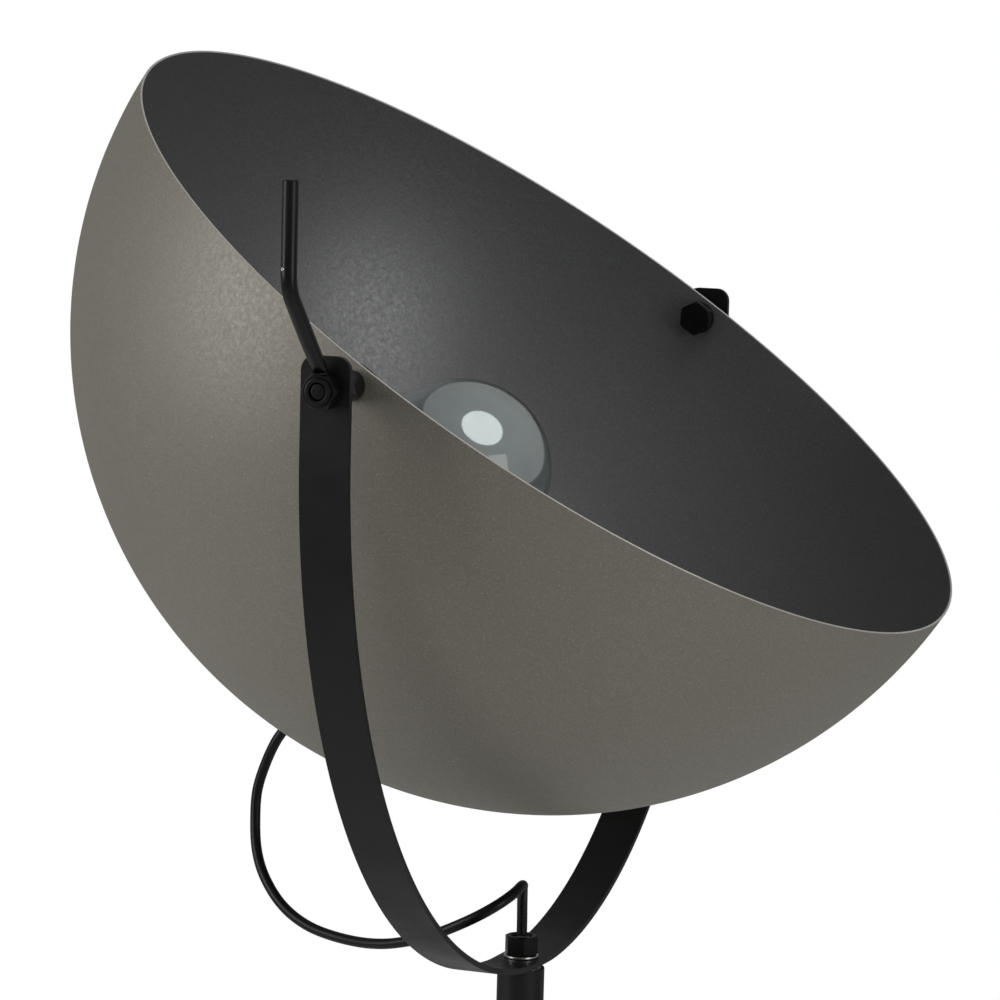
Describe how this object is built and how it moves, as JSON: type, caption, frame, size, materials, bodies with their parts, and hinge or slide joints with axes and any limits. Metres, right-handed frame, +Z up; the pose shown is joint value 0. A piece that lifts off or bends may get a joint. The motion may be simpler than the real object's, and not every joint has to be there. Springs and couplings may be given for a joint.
{
  "type": "tripod floor lamp",
  "caption": "Tripod floor lamp with a tilting dome shade in a bow yoke, clamp lever, globe bulb, flex loop, foot switch and plug.",
  "frame": {"origin": "on the floor, at the middle of the standing lamp's box without its mains lead", "axes": "+Z up; +X along the shade's pivot axis away from the clamp lever; -Y is the front, the way the shade leans"},
  "size_m": [0.6252, 0.5981, 1.4882],
  "materials": {
    "shade_paint": "taupe metallic powder coat, fine sparkle and orange peel; darker grey inside",
    "black_powder": "satin black powder coat",
    "black_metal": "black oxide hardware, semi-gloss",
    "zinc": "bright zinc plate",
    "brass": "plain brass",
    "porcelain": "white insulating body",
    "bulb_glass": "clear glass, silvered crown",
    "filament": "yellow phosphor strips",
    "black_plastic": "moulded black plastic",
    "rubber": "soft black rubber",
    "flex": "round black flex, smooth sheath"
  },
  "bodies": {
    "base": {"yoke_nipple": "zinc", "yoke_washer": "zinc", "yoke_nut": "black_metal", "yoke_seat_washer": "zinc", "column_tube": "black_powder", "column_plug": "zinc", "column_flex": "flex", "hub": "black_powder", "leg_front": "black_powder", "leg_screw_front": "zinc", "foot_front": "rubber", "leg_right": "black_powder", "leg_screw_right": "zinc", "foot_right": "rubber", "leg_left": "black_powder", "leg_screw_left": "zinc", "foot_left": "rubber", "cord_relief": "rubber", "mains_lead": "flex", "switch_base": "black_plastic", "switch_cover": "black_plastic", "switch_sleeve_out": "rubber", "switch_sleeve_in": "rubber", "mains_lead_switched": "flex", "mains_lead_coil": "flex", "mains_lead_end": "flex", "plug_body": "black_plastic", "plug_pin_left": "zinc", "plug_pin_right": "zinc", "plug_sleeve": "rubber"},
    "yoke": {"yoke_strip": "black_powder", "head_flex": "flex"},
    "shade_head": {"shade": "shade_paint", "cord_grip": "black_plastic", "stem": "black_metal", "stem_nut": "zinc", "holder_cup": "black_plastic", "holder_skirt": "black_plastic", "holder_shell": "brass", "holder_contact": "porcelain", "bulb_glass": "bulb_glass", "bulb_cap": "zinc", "bulb_tip": "porcelain", "filament_stem": "bulb_glass", "filaments": "filament", "lever_side_bolt": "black_metal", "lever_side_inner_washer": "black_metal", "lever_side_bush": "black_metal", "lever_side_spacer_nut": "black_metal", "far_side_bolt": "black_metal", "far_side_inner_washer": "black_metal", "far_side_bush": "black_metal", "far_side_outer_washer": "black_metal", "far_side_lock_nut": "black_metal"},
    "clamp_lever": {"lever_nut": "black_metal", "lever_rod": "black_metal"},
    "foot_button": {"switch_button": "black_plastic"}
  },
  "joints": [
    {"name": "yoke_swivel", "type": "hinge", "parent": "base", "child": "yoke", "pos_m": [0, 0.05358, 1.0165], "axis": [0, 0, 1], "range_deg": [-170, 170]},
    {"name": "shade_tilt", "type": "hinge", "parent": "yoke", "child": "shade_head", "pos_m": [0.00825, 0.05358, 1.34], "axis": [1, 0, 0], "range_deg": [-25, 30], "deforming": ["head_flex"]},
    {"name": "lever_turn", "type": "hinge", "parent": "yoke", "child": "clamp_lever", "pos_m": [0.00825, 0.05358, 1.34], "axis": [1, 0, 0], "range_deg": [-75, 0]},
    {"name": "foot_button_press", "type": "slide", "parent": "base", "child": "foot_button", "axis": [0, 0, -1], "range_m": [0, 0.003], "stiffness_N_per_m": 1500, "springref_m": -0.001}
  ]
}
